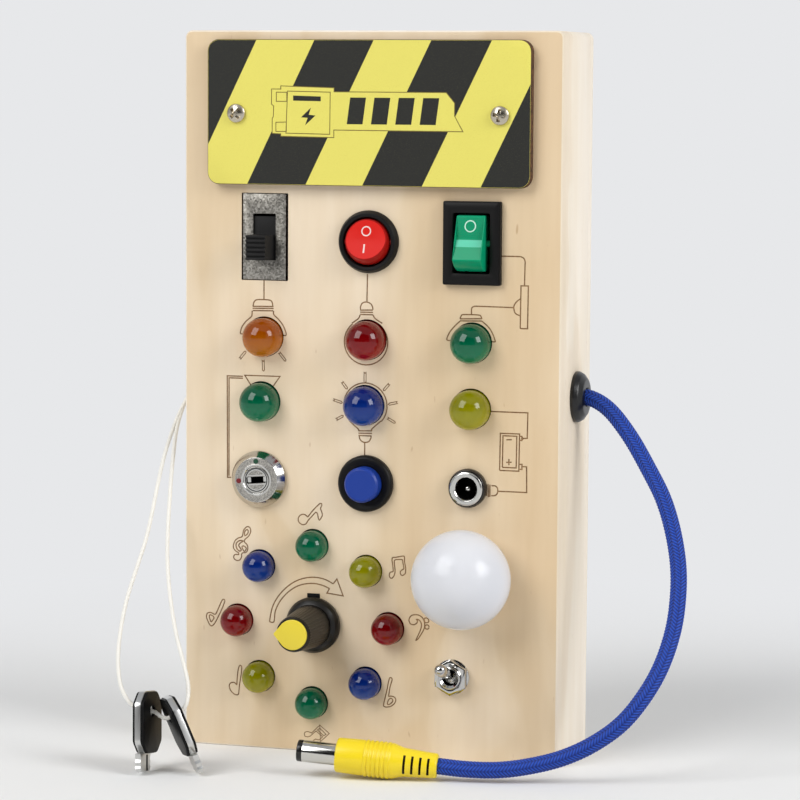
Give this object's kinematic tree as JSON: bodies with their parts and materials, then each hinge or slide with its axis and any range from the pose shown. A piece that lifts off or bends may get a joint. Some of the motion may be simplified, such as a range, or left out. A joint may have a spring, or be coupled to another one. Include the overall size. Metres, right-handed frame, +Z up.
{
  "type": "wooden busy board",
  "caption": "Upright plywood activity board with slide, rocker, toggle, key, push and rotary switches, coloured lamps, a white globe, a power lead with plug and keys on a string.",
  "frame": {"origin": "middle of the board's underside, on the surface it stands on", "axes": "+Z up the board, the face looks along -Y, +X to the right as seen from the front"},
  "size_m": [0.1434, 0.0733, 0.185],
  "materials": {
    "plywood": "sanded birch plywood with burnt outlines",
    "pale_wood": "sanded birch plywood edge",
    "plate_yellow": "printed plastic sheet, satin",
    "zinc_steel": "zinc plated",
    "dull_steel": "dull rolled steel",
    "chrome_plate": "bright nickel plating",
    "key_steel": "stamped nickel silver",
    "black_plastic": "satin moulded",
    "matte_black": "moulded",
    "black_rubber": "moulded rubber",
    "cell_jacket": "plain jacket",
    "brown_laminate": "phenolic laminate",
    "cap_red": "clear tinted acrylic",
    "cap_green": "clear tinted acrylic",
    "button_blue": "moulded",
    "knob_yellow": "moulded",
    "milk_white": "milky diffuser",
    "board_white": "coated board",
    "lamp_orange": "tinted epoxy",
    "lamp_red": "tinted epoxy",
    "lamp_green": "tinted epoxy",
    "lamp_blue": "tinted epoxy",
    "lamp_yellow": "tinted epoxy",
    "cord_blue": "braided sleeve",
    "plug_yellow": "soft moulded vinyl",
    "string_white": "twisted string",
    "wire_red": "wire insulation"
  },
  "bodies": {
    "board": {"front_panel": "plywood", "frame_left": "pale_wood", "frame_right": "pale_wood", "frame_top": "pale_wood", "frame_bottom": "pale_wood", "back_panel": "plywood", "back_screws": "zinc_steel", "warning_plate": "plate_yellow", "plate_screws": "zinc_steel", "battery_holder": "black_plastic", "battery_cells": "cell_jacket", "battery_contacts": "zinc_steel", "slide_switch_frame": "dull_steel", "slide_switch_base": "brown_laminate", "round_rocker_body": "black_plastic", "square_rocker_body": "black_plastic", "key_switch_body": "chrome_plate", "key_switch_base": "black_plastic", "push_button_body": "black_plastic", "push_button_spring": "zinc_steel", "dc_jack_body": "black_plastic", "dc_jack_ring": "chrome_plate", "rotary_switch_body": "black_plastic", "toggle_body": "brown_laminate", "toggle_bushing": "chrome_plate", "toggle_nut": "chrome_plate", "panel_nuts": "zinc_steel", "globe_diffuser": "milk_white", "globe_led_board": "board_white", "led_orange": "lamp_orange", "led_red": "lamp_red", "led_green": "lamp_green", "led_blue": "lamp_blue", "led_yellow": "lamp_yellow", "ring_led_green": "lamp_green", "ring_led_yellow": "lamp_yellow", "ring_led_red": "lamp_red", "ring_led_blue": "lamp_blue", "terminals": "zinc_steel", "cord_grommet": "black_rubber", "cord_stop": "black_rubber", "blue_cord": "cord_blue", "plug_shell": "plug_yellow", "plug_barrel": "chrome_plate", "plug_tip": "black_plastic", "key_string": "string_white", "key_blades": "key_steel", "key_heads": "black_plastic", "wires_red": "wire_red", "wires_black": "black_rubber"},
    "slider": {"slide_switch_slider": "black_plastic"},
    "round_cap": {"round_rocker_cap": "cap_red"},
    "square_cap": {"square_rocker_cap": "cap_green"},
    "lock_core": {"key_switch_core": "dull_steel"},
    "button": {"push_button_cap": "button_blue"},
    "dial": {"rotary_shaft": "dull_steel", "knob_body": "matte_black", "knob_pointer": "knob_yellow"},
    "lever": {"toggle_lever": "chrome_plate"}
  },
  "joints": [
    {"name": "slide_switch", "type": "slide", "parent": "board", "child": "slider", "axis": [0, 0, 1], "range_m": [0, 0.0051]},
    {"name": "round_rocker", "type": "hinge", "parent": "board", "child": "round_cap", "pos_m": [-0.00035, -0.0154, 0.1319], "axis": [1, 0, 0], "range_deg": [0, 29]},
    {"name": "square_rocker", "type": "hinge", "parent": "board", "child": "square_cap", "pos_m": [0.0271, -0.0155, 0.1321], "axis": [1, 0, 0], "range_deg": [0, 40]},
    {"name": "key_turn", "type": "hinge", "parent": "board", "child": "lock_core", "pos_m": [-0.0295, -0.015, 0.0703], "axis": [0, 1, 0], "range_deg": [0, 90]},
    {"name": "push_button", "type": "slide", "parent": "board", "child": "button", "axis": [0, 1, 0], "range_m": [0, 0.0025], "stiffness_N_per_m": 300, "springref_m": -0.001, "deforming": ["push_button_spring"]},
    {"name": "dial_turn", "type": "hinge", "parent": "board", "child": "dial", "pos_m": [-0.0146, -0.015, 0.0332], "axis": [0, 1, 0], "range_deg": [0, 315]},
    {"name": "toggle_throw", "type": "hinge", "parent": "board", "child": "lever", "pos_m": [0.0225, -0.0155, 0.0218], "axis": [1, 0, 0], "range_deg": [0, 38]}
  ]
}
